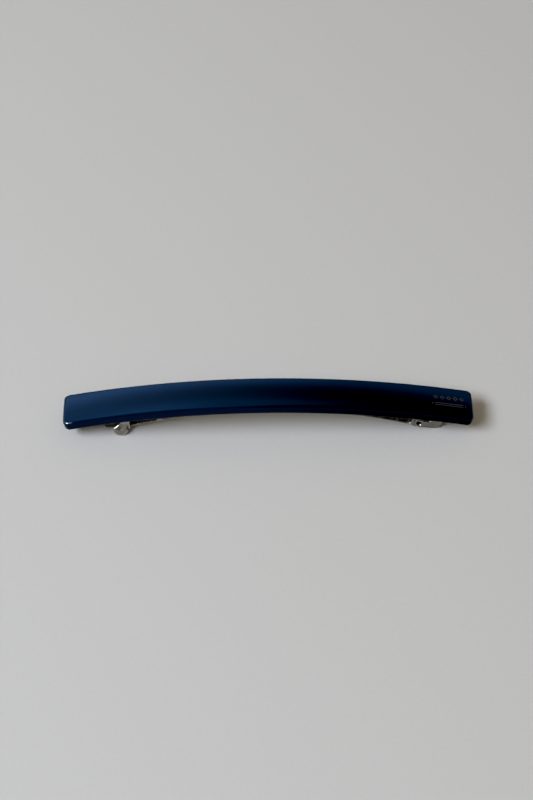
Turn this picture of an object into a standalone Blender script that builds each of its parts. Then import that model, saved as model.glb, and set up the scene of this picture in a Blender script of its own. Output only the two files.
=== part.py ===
"""Slim arched hair barrette on a French clasp, as separate solids.

A cellulose acetate bar is riveted to a sprung steel clasp. The clasp has a base plate with hinge ears,
a tubular hinge pin, a bowed clasp arm, a bowed tension spring curled round the same pin, and a latch:
a riveted plate with two wings that hold the arm's edges and let go when they are squeezed.

Frame: metres, +Z up, +X towards the hinge, -X towards the latch. The origin is on the table, under the
middle of the bar, and the barrette stands on the latch wings and the hinge ears.
"""

import math

import bmesh
import bpy
from mathutils import Matrix, Vector

MM = 0.001

# Bar: every arch is concentric with the bar's underside.
BAR_LENGTH = 105.0 * MM
BAR_WIDTH = 10.3 * MM
BAR_THICKNESS = 3.0 * MM
BAR_RISE = 5.9 * MM
BAR_CROWN = 0.35 * MM
BAR_CORNER = 1.7 * MM
BAR_EDGE = 0.7 * MM
APEX_HEIGHT = 8.55 * MM
ARCH_RADIUS = ((BAR_LENGTH / 2) ** 2 + BAR_RISE**2) / (2 * BAR_RISE)

# Base plate: "along" is arc length on the bar's underside, "rise" is height above that underside.
SEAT_GAP = 0.08 * MM
BASE_THICKNESS = 0.5 * MM
BASE_WIDTH = 5.8 * MM
BASE_LEFT = -49.6 * MM
BASE_RIGHT = 50.2 * MM
BASE_BOTTOM = -(SEAT_GAP + BASE_THICKNESS)
SLOT_ALONG = (-17.0 * MM, 19.0 * MM)
SLOT_LENGTH = 5.0 * MM
SLOT_WIDTH = 1.6 * MM

# Hinge: pin centre in the world, ears along the base.
PIN_X = 38.6 * MM
PIN_Z = 2.25 * MM
PIN_RADIUS = 1.0 * MM
PIN_BORE = 0.62 * MM
PIN_HEAD = 1.36 * MM
PIN_CLEARANCE = 0.06 * MM
EAR_OUTSIDE = 3.0 * MM
EAR_THICKNESS = 0.5 * MM
EAR_START = 37.35 * MM
EAR_END = 45.4 * MM
EAR_BOTTOM = -4.7 * MM
WINDOW_ALONG = (40.1 * MM, 42.4 * MM)
WINDOW_RISE = (-2.45 * MM, -0.95 * MM)

# Clasp arm: one arc, then a reverse bend into a straight tongue.
ARM_RADIUS = 112.0 * MM
ARM_APEX = 6.85 * MM
ARM_THICKNESS = 0.5 * MM
ARM_WIDTH = 4.8 * MM
ARM_HINGE_X = 38.1 * MM
ARM_BEND_X = -33.0 * MM
ARM_BEND_RADIUS = 14.0 * MM
ARM_BEND_ANGLE = math.radians(10.8)
TONGUE_LENGTH = 6.8 * MM
LUG_RADIUS = 1.5 * MM
LUG_THICKNESS = 0.45 * MM
LUG_START_X = 35.9 * MM

# Tension spring: bowed strip with an eye round the pin and two guide tabs beside the arm.
SPRING_THICKNESS = 0.3 * MM
SPRING_WIDTH = 3.4 * MM
SPRING_RADIUS = 155.0 * MM
SPRING_EYE_RADIUS = 1.25 * MM
SPRING_EYE_ANGLE = math.radians(285.0)
SPRING_END_X = -28.6 * MM
SPRING_HEAD_LENGTH = 1.5 * MM
GUIDE_INSIDE = 2.55 * MM
GUIDE_DEPTH = 0.85 * MM

# Latch: plate riveted under the base, one wing on each side.
LATCH_THICKNESS = 0.35 * MM
LATCH_TOP = BASE_BOTTOM - 0.1 * MM
LATCH_PLATE_LEFT = -44.4 * MM
LATCH_PLATE_RIGHT = -34.2 * MM
LATCH_PLATE_WIDTH = 4.6 * MM
FULCRUM_ALONG = -37.9 * MM
FULCRUM_REACH = 2.58 * MM
FULCRUM_WIDTH = 0.6 * MM
LATCH_RIVET_ALONG = -41.6 * MM
RIVET_RADIUS = 0.75 * MM
RIVET_HOLE = 0.8 * MM
WING_MIDDLE = 2.85 * MM
WING_TOP = BASE_BOTTOM - 0.17 * MM
WALL_LEFT = -38.3 * MM
WALL_RIGHT = -36.05 * MM
WALL_HEIGHT = 1.3 * MM
FLARE_BEND = 0.5 * MM
FLARE_ANGLE = math.radians(24.0)
LOBE_ALONG = -38.65 * MM
LOBE_DOWN = 3.1 * MM
LOBE_RADIUS = 2.0 * MM
LOBE_HOLE = 0.45 * MM
TOOTH_LEFT = -37.0 * MM
TOOTH_REACH = 2.22 * MM
TOOTH_TOP = -4.6 * MM

# Rivets that hold the base plate to the bar.
MOUNT_RIVET_ALONG = (-47.2 * MM, 47.9 * MM)
MOUNT_RIVET_HEAD = 1.35 * MM
MOUNT_RIVET_DEPTH = 1.6 * MM

SLICE = 4.0 * MM
ROUND_STEPS = 20
WELD = 0.00001


# Scene, collections and materials


def clear_scene():
    for obj in list(bpy.data.objects):
        bpy.data.objects.remove(obj, do_unlink=True)


def new_collection(name):
    collection = bpy.data.collections.new(name)
    bpy.context.scene.collection.children.link(collection)
    return collection


def new_material(name, colour, roughness, metallic):
    made = bpy.data.materials.new(name)
    made.use_nodes = True
    shader = made.node_tree.nodes["Principled BSDF"]
    shader.inputs["Base Color"].default_value = (*colour, 1.0)
    shader.inputs["Roughness"].default_value = roughness
    shader.inputs["Metallic"].default_value = metallic
    return made


# Outlines in a plane


def arc(centre, radius, start, end, steps):
    """Points on an arc, from the start angle to the end angle, in degrees."""
    turn = [math.radians(start + (end - start) * i / steps) for i in range(steps + 1)]
    return [
        (centre[0] + radius * math.cos(a), centre[1] + radius * math.sin(a)) for a in turn
    ]


def circle(centre, radius):
    return arc(centre, radius, 0.0, 360.0, ROUND_STEPS)[:-1]


def slot(centre, length, width):
    """A slot with round ends that runs along the first axis."""
    reach = (length - width) / 2
    right = arc((centre[0] + reach, centre[1]), width / 2, -90.0, 90.0, 8)
    left = arc((centre[0] - reach, centre[1]), width / 2, 90.0, 270.0, 8)
    return right + left


def rounded(corners, steps=4):
    """A polygon whose corners (x, y, radius) are rounded by arcs."""
    points = []
    for i, (x, y, radius) in enumerate(corners):
        here = Vector((x, y))
        if radius == 0.0:
            points.append((x, y))
            continue
        back = (Vector(corners[i - 1][:2]) - here).normalized()
        ahead = (Vector(corners[(i + 1) % len(corners)][:2]) - here).normalized()
        half = back.angle(ahead) / 2
        centre = here + (back + ahead).normalized() * (radius / math.sin(half))
        start = here + back * (radius / math.tan(half)) - centre
        turn = start.angle_signed(here + ahead * (radius / math.tan(half)) - centre)
        for k in range(steps + 1):
            spoke = start.copy()
            spoke.rotate(Matrix.Rotation(-turn * k / steps, 2))
            points.append(tuple(centre + spoke))
    return points


# Solids


def plate(loops, thickness):
    """A bmesh of a flat plate in XY, half its thickness each side, from an outline and its holes."""
    curve = bpy.data.curves.new("outline", "CURVE")
    curve.dimensions = "2D"
    curve.fill_mode = "BOTH"
    curve.extrude = thickness / 2
    for loop in loops:
        spline = curve.splines.new("POLY")
        spline.points.add(len(loop) - 1)
        for point, (x, y) in zip(spline.points, loop, strict=True):
            point.co = (x, y, 0.0, 1.0)
        spline.use_cyclic_u = True
    guide = bpy.data.objects.new("outline", curve)
    bpy.context.scene.collection.objects.link(guide)
    bpy.context.view_layer.update()
    graph = bpy.context.evaluated_depsgraph_get()
    mesh = bpy.data.meshes.new_from_object(guide.evaluated_get(graph))
    bpy.data.objects.remove(guide)
    bpy.data.curves.remove(curve)
    solid = bmesh.new()
    solid.from_mesh(mesh)
    bpy.data.meshes.remove(mesh)
    bmesh.ops.remove_doubles(solid, verts=solid.verts, dist=WELD)
    return solid


def slice_across(solid, axis, places):
    """Cuts the faces at planes across an axis, so that the solid can bend there."""
    normal = Vector([float(axis == k) for k in range(3)])
    for place in places:
        everything = solid.verts[:] + solid.edges[:] + solid.faces[:]
        bmesh.ops.bisect_plane(
            solid, geom=everything, dist=WELD / 10, plane_co=normal * place, plane_no=normal
        )


def spread(start, end, step):
    """Places between two ends, evenly spaced by about a step, without the ends."""
    count = max(1, math.ceil(abs(end - start) / step))
    return [start + (end - start) * i / count for i in range(1, count)]


def reshape(solid, place):
    """Moves each point (x, y, z) to place(x, y, z)."""
    for vert in solid.verts:
        vert.co = Vector(place(*vert.co))


def trim_below(solid, height):
    """Cuts off what is below a height and closes the cut with a flat face."""
    everything = solid.verts[:] + solid.edges[:] + solid.faces[:]
    cut = bmesh.ops.bisect_plane(
        solid,
        geom=everything,
        dist=WELD / 10,
        plane_co=(0.0, 0.0, height),
        plane_no=(0.0, 0.0, -1.0),
        clear_outer=True,
    )
    rim = [e for e in cut["geom_cut"] if isinstance(e, bmesh.types.BMEdge)]
    bmesh.ops.holes_fill(solid, edges=rim, sides=0)


def add_object(name, solid, collection, finish, origin=(0.0, 0.0, 0.0)):
    """An object from a bmesh in world space, with its origin where it turns or sits."""
    bmesh.ops.translate(solid, verts=solid.verts, vec=-Vector(origin))
    bmesh.ops.recalc_face_normals(solid, faces=solid.faces)
    mesh = bpy.data.meshes.new(name)
    solid.to_mesh(mesh)
    solid.free()
    mesh.materials.append(finish)
    mesh.shade_smooth()
    mesh.set_sharp_from_angle(angle=math.radians(30.0))
    obj = bpy.data.objects.new(name, mesh)
    obj.location = origin
    collection.objects.link(obj)
    return obj


def add_helper(name, solid):
    """An object that a Boolean uses, which isn't a part itself."""
    obj = add_object(name, solid, HELPERS, STEEL)
    obj.hide_render = True
    obj.display_type = "WIRE"
    return obj


def boolean(obj, other, operation):
    modifier = obj.modifiers.new(other.name, "BOOLEAN")
    modifier.operation = operation
    modifier.object = other


def turned(name, profile, collection, finish, ring=False):
    """A turned object about Z, from a profile (radius, height) that runs down its outer side."""
    mesh = bpy.data.meshes.new(name)
    count = len(profile)
    edges = [(i, (i + 1) % count) for i in range(count if ring else count - 1)]
    mesh.from_pydata([(r, 0.0, z) for r, z in profile], edges, [])
    mesh.materials.append(finish)
    obj = bpy.data.objects.new(name, mesh)
    collection.objects.link(obj)
    screw = obj.modifiers.new("turn", "SCREW")
    screw.steps = ROUND_STEPS
    screw.render_steps = ROUND_STEPS
    screw.use_merge_vertices = True
    screw.merge_threshold = WELD
    screw.use_smooth_shade = True
    return obj


# The arch and the bent strips


def on_arch(along, across, rise):
    """World place of a point on the bar's arch: arc length, side and height over the underside."""
    angle = along / ARCH_RADIUS
    reach = ARCH_RADIUS + rise
    return (
        reach * math.sin(angle),
        across,
        APEX_HEIGHT - ARCH_RADIUS + reach * math.cos(angle),
    )


def place_on_arch(obj, along, rise):
    obj.location = on_arch(along, 0.0, rise)
    obj.rotation_euler = (0.0, along / ARCH_RADIUS, 0.0)


class BentPath:
    """A path in a plane made of arcs. Each stretch is (length, turn), a left turn being positive."""

    def __init__(self, start, heading, stretches):
        self.starts = []
        self.length = 0.0
        place = Vector(start)
        for length, turn in stretches:
            self.starts.append((self.length, place.copy(), heading, length, turn))
            place = self._walk(place, heading, length, turn, length)
            heading += turn
            self.length += length

    @staticmethod
    def _walk(place, heading, length, turn, distance):
        if turn == 0.0:
            return place + Vector((math.cos(heading), math.sin(heading))) * distance
        radius = length / turn
        end = heading + turn * distance / length
        return place + radius * Vector(
            (math.sin(end) - math.sin(heading), math.cos(heading) - math.cos(end))
        )

    def at(self, distance, offset):
        """The point at a distance along the path, moved to its left by an offset."""
        begun = [s for s in self.starts if s[0] <= distance + WELD] or self.starts[:1]
        begin, place, heading, length, turn = begun[-1]
        here = self._walk(place, heading, length, turn, distance - begin)
        direction = heading + turn * (distance - begin) / length
        return here + offset * Vector((-math.sin(direction), math.cos(direction)))

    def stations(self, step, most_turn):
        """Distances at which a strip is cut so that it follows the path."""
        places = []
        for begin, _, _, length, turn in self.starts:
            count = max(math.ceil(length / step), math.ceil(abs(turn) / most_turn))
            places += [begin + length * i / count for i in range(count)]
        return places[1:]


def strip_on_path(path, outline_loops, thickness):
    """A bent strip: its flat plate runs along X from 0 to the path's length."""
    solid = plate(outline_loops, thickness)
    slice_across(solid, 0, path.stations(SLICE, math.radians(18.0)))

    def bend(x, y, z):
        place = path.at(x, z)
        return (place.x, y, place.y)

    reshape(solid, bend)
    return solid


# Parts


def make_bar():
    """The acetate bar: rounded in plan, crowned across, with polished edges and two blind rivet holes."""
    widest = ARCH_RADIUS + BAR_THICKNESS - BAR_EDGE
    half = ARCH_RADIUS * math.asin(BAR_LENGTH / 2 / widest)
    solid = bmesh.new()
    bmesh.ops.create_cube(solid, size=1.0)
    size = (2 * half, BAR_WIDTH, BAR_THICKNESS)
    bmesh.ops.scale(solid, verts=solid.verts, vec=size)
    bmesh.ops.translate(solid, verts=solid.verts, vec=(0.0, 0.0, BAR_THICKNESS / 2))
    upright = [e for e in solid.edges if abs(e.verts[0].co.z - e.verts[1].co.z) > WELD]
    bmesh.ops.bevel(
        solid, geom=upright, offset=BAR_CORNER, segments=4, profile=0.5, affect="EDGES"
    )
    rims = [e for e in solid.edges if abs(e.verts[0].co.z - e.verts[1].co.z) < WELD]
    bmesh.ops.bevel(
        solid, geom=rims, offset=BAR_EDGE, segments=3, profile=0.5, affect="EDGES"
    )
    slice_across(solid, 0, spread(-half, half, SLICE))
    slice_across(solid, 1, spread(-BAR_WIDTH / 2, BAR_WIDTH / 2, BAR_WIDTH / 6))

    def crown_and_bend(x, y, z):
        drop = BAR_CROWN * (2 * y / BAR_WIDTH) ** 2 * z / BAR_THICKNESS
        return on_arch(x, y, z - drop)

    reshape(solid, crown_and_bend)
    bar = add_object("acetate_bar", solid, PARTS, ACETATE)
    for side, along in zip(("left", "right"), MOUNT_RIVET_ALONG, strict=True):
        depth = MOUNT_RIVET_DEPTH + SEAT_GAP
        profile = [(0.0, depth), (RIVET_HOLE, depth), (RIVET_HOLE, -depth), (0.0, -depth)]
        cutter = turned(f"rivet_hole_{side}", profile, HELPERS, STEEL)
        cutter.hide_render = True
        cutter.display_type = "WIRE"
        place_on_arch(cutter, along, 0.0)
        boolean(bar, cutter, "DIFFERENCE")


def pin_on_arch():
    """The pin's centre as arc length along the arch and height over it."""
    centre = APEX_HEIGHT - ARCH_RADIUS
    reach = math.hypot(PIN_X, PIN_Z - centre)
    return ARCH_RADIUS * math.atan2(PIN_X, PIN_Z - centre), reach - ARCH_RADIUS


def make_ear(side):
    """A hinge ear in the flat blank's own plane, folded down at one side of the base."""
    left_corner, right_corner = 1.25 * MM, 2.0 * MM
    outline = rounded(
        [
            (EAR_START, -0.2 * MM, 0.0),
            (EAR_START, EAR_BOTTOM + 0.12 * MM, left_corner),
            (EAR_END, EAR_BOTTOM, right_corner),
            (EAR_END, -0.2 * MM, 0.0),
        ]
    )
    left, right = WINDOW_ALONG
    low, high = WINDOW_RISE
    window = rounded(
        [
            (left, low, 0.55 * MM),
            (right, low, 0.55 * MM),
            (right, high, 0.2 * MM),
            (left, high, 0.2 * MM),
        ]
    )
    hole = circle(pin_on_arch(), PIN_RADIUS + PIN_CLEARANCE)
    solid = plate([outline, hole, window], EAR_THICKNESS)
    slice_across(solid, 0, spread(EAR_START, EAR_END, SLICE / 2))
    middle = side * (EAR_OUTSIDE - EAR_THICKNESS / 2)
    reshape(solid, lambda x, y, z: on_arch(x, middle + z, y))
    trim_below(solid, 0.0)
    return solid


def make_base():
    """The stamped base plate with its two ears, rivet holes and slots."""
    half = BASE_WIDTH / 2
    tip = 2.2 * MM
    outline = rounded(
        [
            (BASE_LEFT, -half, tip),
            (BASE_RIGHT, -half, tip),
            (BASE_RIGHT, half, tip),
            (BASE_LEFT, half, tip),
        ]
    )
    rivets = [*MOUNT_RIVET_ALONG, LATCH_RIVET_ALONG]
    holes = [circle((along, 0.0), RIVET_HOLE) for along in rivets]
    slots = [slot((along, 0.0), SLOT_LENGTH, SLOT_WIDTH) for along in SLOT_ALONG]
    solid = plate([outline, *holes, *slots], BASE_THICKNESS)
    slice_across(solid, 0, spread(BASE_LEFT, BASE_RIGHT, SLICE))
    middle = -SEAT_GAP - BASE_THICKNESS / 2
    reshape(solid, lambda x, y, z: on_arch(x, y, middle + z))
    base = add_object("base_plate", solid, PARTS, STEEL)
    for name, side in (("front", -1), ("rear", 1)):
        boolean(base, add_helper(f"hinge_ear_{name}", make_ear(side)), "UNION")


def make_hinge_pin():
    """A tubular rivet across the ears, with its ends flared over them."""
    seat = EAR_OUTSIDE + 0.05 * MM
    end = seat + 0.3 * MM
    flare = PIN_BORE + 0.22 * MM
    outer = [(PIN_HEAD - 0.12 * MM, end), (PIN_HEAD, seat + 0.12 * MM), (PIN_HEAD, seat)]
    shank = [(PIN_RADIUS, seat), (PIN_RADIUS, -seat)]
    lower = [(r, -z) for r, z in reversed(outer)]
    bore = [(flare, -end), (PIN_BORE, -seat), (PIN_BORE, seat), (flare, end)]
    pin = turned("hinge_pin", outer + shank + lower + bore, PARTS, STEEL, ring=True)
    pin.location = (PIN_X, 0.0, PIN_Z)
    pin.rotation_euler = (math.radians(90.0), 0.0, 0.0)


def make_mount_rivets():
    """Rivets with low heads under the base plate and shanks set into the bar."""
    seat = BASE_BOTTOM - 0.05 * MM
    low = seat - 0.42 * MM
    profile = [
        (0.0, MOUNT_RIVET_DEPTH),
        (RIVET_RADIUS, MOUNT_RIVET_DEPTH),
        (RIVET_RADIUS, seat),
        (MOUNT_RIVET_HEAD, seat),
        (0.9 * MOUNT_RIVET_HEAD, seat - 0.24 * MM),
        (0.55 * MOUNT_RIVET_HEAD, low + 0.05 * MM),
        (0.0, low),
    ]
    for side, along in zip(("left", "right"), MOUNT_RIVET_ALONG, strict=True):
        place_on_arch(turned(f"mount_rivet_{side}", profile, PARTS, BRASS), along, 0.0)


def arm_path():
    """The arm's middle line, from the hinge end to the tip of its tongue, walked towards -X."""
    radius = ARM_RADIUS + ARM_THICKNESS / 2
    start = math.asin(ARM_HINGE_X / radius)
    bend = math.asin(ARM_BEND_X / radius)
    centre = ARM_APEX - ARM_RADIUS
    begin = (radius * math.sin(start), centre + radius * math.cos(start))
    return BentPath(
        begin,
        math.pi - start,
        [
            (radius * (start - bend), start - bend),
            (ARM_BEND_RADIUS * ARM_BEND_ANGLE, -ARM_BEND_ANGLE),
            (TONGUE_LENGTH, 0.0),
        ],
    )


def make_lug(side):
    """A lug of the arm's knuckle, inside the hinge ear."""
    radius = ARM_RADIUS + ARM_THICKNESS / 2

    def on_strip(x):
        return (x, ARM_APEX - ARM_RADIUS + math.sqrt(radius**2 - x**2))

    start_x, start_z = on_strip(LUG_START_X)
    pin = (PIN_X, PIN_Z)
    outline = [on_strip(ARM_HINGE_X - 0.1 * MM)]
    outline += arc(pin, LUG_RADIUS, -75.0, 118.0, 12)
    outline += [(start_x + 0.5 * MM, start_z + 0.55 * MM), (start_x, start_z)]
    hole = circle(pin, PIN_RADIUS + PIN_CLEARANCE)
    solid = plate([outline, hole], LUG_THICKNESS)
    middle = side * (ARM_WIDTH - LUG_THICKNESS) / 2
    reshape(solid, lambda x, y, z: (x, middle + z, y))
    return solid


def make_arm():
    """The clasp arm: a bowed strip with a rounded tongue and two lugs that turn on the pin."""
    path = arm_path()
    half = ARM_WIDTH / 2
    neck = half - 0.1 * MM
    neck_end = 6.0 * MM
    tip = 1.6 * MM
    outline = rounded(
        [
            (0.0, -neck, 0.0),
            (neck_end, -neck, 0.0),
            (neck_end + 1.0 * MM, -half, 0.0),
            (path.length, -half, tip),
            (path.length, half, tip),
            (neck_end + 1.0 * MM, half, 0.0),
            (neck_end, neck, 0.0),
            (0.0, neck, 0.0),
        ]
    )
    solid = strip_on_path(path, [outline], ARM_THICKNESS)
    arm = add_object("clasp_arm", solid, PARTS, STEEL, (PIN_X, 0.0, PIN_Z))
    for name, side in (("front", -1), ("rear", 1)):
        boolean(arm, add_helper(f"arm_lug_{name}", make_lug(side)), "UNION")


def spring_path():
    """The spring's middle line: round the eye, then one long arc to the free end, towards -X."""
    apex_x = PIN_X - 35.6 * MM
    leave = math.asin((PIN_X - apex_x) / (SPRING_RADIUS - SPRING_EYE_RADIUS))
    end = math.asin((SPRING_END_X - apex_x) / SPRING_RADIUS)
    heading = math.pi - leave
    first = heading - SPRING_EYE_ANGLE
    begin = Vector((PIN_X, PIN_Z)) + SPRING_EYE_RADIUS * Vector(
        (math.sin(first), -math.cos(first))
    )
    return BentPath(
        begin,
        first,
        [
            (SPRING_EYE_RADIUS * SPRING_EYE_ANGLE, SPRING_EYE_ANGLE),
            (SPRING_RADIUS * (leave - end), leave - end),
        ],
    )


def make_spring():
    """The tension spring, with a cross head at its free end and guide tabs down beside the arm."""
    path = spring_path()
    half = SPRING_WIDTH / 2
    head = GUIDE_INSIDE + SPRING_THICKNESS
    head_start = path.length - SPRING_HEAD_LENGTH
    outline = rounded(
        [
            (0.0, -half, 0.0),
            (head_start, -half, 0.3 * MM),
            (head_start, -head, 0.0),
            (path.length, -head, 0.0),
            (path.length, head, 0.0),
            (head_start, head, 0.0),
            (head_start, half, 0.3 * MM),
            (0.0, half, 0.0),
        ]
    )
    solid = strip_on_path(path, [outline], SPRING_THICKNESS)
    spring = add_object("tension_spring", solid, PARTS, SPRING_STEEL, (PIN_X, 0.0, PIN_Z))
    top = path.at(path.length - SPRING_HEAD_LENGTH / 2, 0.0)
    for name, side in (("front", -1), ("rear", 1)):
        tab = bmesh.new()
        bmesh.ops.create_cube(tab, size=1.0)
        size = (SPRING_HEAD_LENGTH - 0.1 * MM, SPRING_THICKNESS - 0.06 * MM, GUIDE_DEPTH)
        bmesh.ops.scale(tab, verts=tab.verts, vec=size)
        across = side * (GUIDE_INSIDE + SPRING_THICKNESS / 2)
        place = (top.x, across, top.y - GUIDE_DEPTH / 2)
        bmesh.ops.translate(tab, verts=tab.verts, vec=place)
        boolean(spring, add_helper(f"guide_tab_{name}", tab), "UNION")


def make_latch_plate():
    """The latch's riveted plate, with a small tab beside each wing where the wing flexes."""
    half = LATCH_PLATE_WIDTH / 2
    ledge = FULCRUM_WIDTH / 2
    corner = 1.0 * MM
    lower = [
        (LATCH_PLATE_LEFT, -half, corner),
        (FULCRUM_ALONG - ledge, -half, 0.0),
        (FULCRUM_ALONG - ledge, -FULCRUM_REACH, 0.0),
        (FULCRUM_ALONG + ledge, -FULCRUM_REACH, 0.0),
        (FULCRUM_ALONG + ledge, -half, 0.0),
        (LATCH_PLATE_RIGHT, -half, corner),
    ]
    upper = [(x, -y, radius) for x, y, radius in reversed(lower)]
    hole = circle((LATCH_RIVET_ALONG, 0.0), RIVET_HOLE)
    solid = plate([rounded(lower + upper), hole], LATCH_THICKNESS)
    slice_across(solid, 0, spread(LATCH_PLATE_LEFT, LATCH_PLATE_RIGHT, SLICE))
    middle = LATCH_TOP - LATCH_THICKNESS / 2
    reshape(solid, lambda x, y, z: on_arch(x, y, middle + z))
    add_object("latch_plate", solid, PARTS, SPRING_STEEL)


def make_latch_rivet():
    seat = LATCH_TOP - LATCH_THICKNESS - 0.05 * MM
    low = seat - 0.45 * MM
    head = 1.3 * MM
    top = -SEAT_GAP - 0.05 * MM
    profile = [
        (0.0, top),
        (RIVET_RADIUS, top),
        (RIVET_RADIUS, seat),
        (head, seat),
        (0.92 * head, seat - 0.25 * MM),
        (0.6 * head, low + 0.06 * MM),
        (0.0, low),
    ]
    rivet = turned("latch_rivet", profile, PARTS, BRASS)
    place_on_arch(rivet, LATCH_RIVET_ALONG, 0.0)


def make_wing(name, side):
    """A latch wing: an upright wall, a flared round lobe to squeeze, and a tooth under the arm."""
    lobe = (LOBE_ALONG, LOBE_DOWN)
    shoulder = (LOBE_ALONG - 1.85 * MM, LOBE_DOWN - 0.45 * MM, 0.8 * MM)
    notch = (LOBE_ALONG + 1.5 * MM, LOBE_DOWN - 0.3 * MM, 0.15 * MM)
    corners = [(WALL_LEFT, 0.0, 0.0), (WALL_LEFT, 1.37 * MM, 0.3 * MM), shoulder]
    corners += [(x, y, 0.0) for x, y in arc(lobe, LOBE_RADIUS, 165.0, 20.0, 12)]
    corners += [notch, (WALL_RIGHT - 0.35 * MM, 2.15 * MM, 0.2 * MM)]
    corners += [(WALL_RIGHT, 1.7 * MM, 0.2 * MM), (WALL_RIGHT, 0.0, 0.0)]
    hole = circle((LOBE_ALONG - 0.3 * MM, LOBE_DOWN - 0.15 * MM), LOBE_HOLE)
    solid = plate([rounded(corners), hole], LATCH_THICKNESS)
    fold = BentPath(
        (WING_MIDDLE, WING_TOP),
        math.radians(-90.0),
        [(WALL_HEIGHT, 0.0), (FLARE_BEND, FLARE_ANGLE), (2 * LOBE_RADIUS, 0.0)],
    )
    slice_across(solid, 1, fold.stations(SLICE, math.radians(10.0)))

    def fold_down(x, y, z):
        place = fold.at(y, z)
        return on_arch(x, side * place.x, place.y)

    reshape(solid, fold_down)
    trim_below(solid, 0.0)
    origin = on_arch(FULCRUM_ALONG, side * WING_MIDDLE, WING_TOP)
    wing = add_object(f"latch_wing_{name}", solid, PARTS, SPRING_STEEL, origin)

    leg = 0.3 * MM
    inside, outside = WING_MIDDLE - leg / 2, WING_MIDDLE + leg / 2
    leg_top = WING_TOP - WALL_HEIGHT
    tooth_bottom = TOOTH_TOP - leg
    section = [
        (inside, leg_top),
        (outside, leg_top),
        (outside, tooth_bottom),
        (TOOTH_REACH, tooth_bottom),
        (TOOTH_REACH, TOOTH_TOP),
        (inside, TOOTH_TOP),
    ]
    width = WALL_RIGHT - TOOTH_LEFT - 0.1 * MM
    middle = TOOTH_LEFT + width / 2
    hook = plate([section], width)
    reshape(hook, lambda x, y, z: on_arch(middle + z, side * x, y))
    boolean(wing, add_helper(f"latch_tooth_{name}", hook), "UNION")


clear_scene()
PARTS = new_collection("barrette")
HELPERS = new_collection("helpers")
ACETATE = new_material("navy_acetate", (0.006, 0.028, 0.085), 0.16, 0.0)
STEEL = new_material("nickel_plated_steel", (0.66, 0.64, 0.60), 0.22, 1.0)
SPRING_STEEL = new_material("sprung_steel", (0.60, 0.58, 0.55), 0.28, 1.0)
BRASS = new_material("brass", (0.62, 0.47, 0.22), 0.3, 1.0)

make_bar()
make_base()
make_mount_rivets()
make_hinge_pin()
make_arm()
make_spring()
make_latch_plate()
make_latch_rivet()
for wing_name, wing_side in (("front", -1), ("rear", 1)):
    make_wing(wing_name, wing_side)
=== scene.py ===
"""Looks of the slim arched hair barrette: polished navy acetate on a nickel-plated French clasp.

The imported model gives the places. Every sub-part is made again here with its fine surface: sheet-metal
parts are flat blanks with rounded edges that are folded and bowed, and turned parts are fine profiles.
"""

import math

import bmesh
import bpy
from mathutils import Matrix, Vector


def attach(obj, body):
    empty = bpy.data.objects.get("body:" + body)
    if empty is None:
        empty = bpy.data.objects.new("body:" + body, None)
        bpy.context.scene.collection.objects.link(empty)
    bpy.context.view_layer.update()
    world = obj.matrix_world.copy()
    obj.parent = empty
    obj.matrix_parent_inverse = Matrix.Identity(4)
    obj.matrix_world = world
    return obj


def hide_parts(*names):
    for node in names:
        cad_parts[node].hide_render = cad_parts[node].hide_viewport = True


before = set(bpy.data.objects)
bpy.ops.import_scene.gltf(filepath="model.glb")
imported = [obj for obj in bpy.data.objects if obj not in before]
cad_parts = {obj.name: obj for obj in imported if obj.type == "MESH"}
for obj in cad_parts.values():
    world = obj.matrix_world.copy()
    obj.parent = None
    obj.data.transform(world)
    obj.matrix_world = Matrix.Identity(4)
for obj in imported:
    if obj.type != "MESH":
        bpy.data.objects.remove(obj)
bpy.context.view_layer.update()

MM = 0.001

# Bar: its arch, and the clasp's strips under it, are placed by arc length and height over its underside.
BAR_LENGTH = 104.96 * MM
BAR_WIDTH = 10.3 * MM
BAR_THICKNESS = 2.99 * MM
BAR_RISE = 5.9 * MM
BAR_CROWN = 0.35 * MM
BAR_CORNER = 1.5 * MM
BAR_EDGE = 0.65 * MM
APEX_HEIGHT = 8.55 * MM
ARCH_CHORD = 105.0 * MM
ARCH_RADIUS = ((ARCH_CHORD / 2) ** 2 + BAR_RISE**2) / (2 * BAR_RISE)

# Ornament stamped at the bar's right end
ORNAMENT_ALONG = 46.0 * MM
ORNAMENT_ROWS = (1.05 * MM, -1.25 * MM)
LOZENGE_SPACING = 1.7 * MM
LOZENGE_HALF = 0.68 * MM
RULE_LENGTH = 7.4 * MM
RULE_GAP = 0.6 * MM
STROKE = 0.2 * MM
FOIL_THICKNESS = 0.012 * MM

# Base plate and its ears
BASE_THICKNESS = 0.5 * MM
BASE_MIDDLE = -0.33 * MM
BASE_BOTTOM = BASE_MIDDLE - BASE_THICKNESS / 2
BASE_HALF_WIDTH = 2.9 * MM
BASE_LEFT = -49.6 * MM
BASE_RIGHT = 50.2 * MM
SLOTS_ALONG = (-17.0 * MM, 19.0 * MM)
SLOT_LENGTH = 5.0 * MM
SLOT_WIDTH = 1.6 * MM
EAR_OUTSIDE = 3.0 * MM
EAR_BEND = 0.5 * MM
EAR_FOLD = EAR_OUTSIDE - BASE_THICKNESS / 2 - EAR_BEND
EAR_START = 37.35 * MM
EAR_END = 45.4 * MM
EAR_BOTTOM = -4.7 * MM
EAR_WINDOW_ALONG = (40.1 * MM, 42.4 * MM)
EAR_WINDOW_RISE = (-2.45 * MM, -0.95 * MM)

# Rivets. A top is a height over the bar's underside.
CLEARANCE = 0.05 * MM
RIVET_RADIUS = 0.75 * MM
RIVET_RIM = 0.16 * MM
RIVET_DOME = 0.26 * MM
RIVETS_ALONG = (-47.2 * MM, 47.9 * MM)
RIVET_TOP = 1.6 * MM
RIVET_HEAD = 1.35 * MM
LATCH_RIVET_ALONG = -41.6 * MM
LATCH_RIVET_TOP = -0.13 * MM
LATCH_RIVET_HEAD = 1.3 * MM

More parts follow.
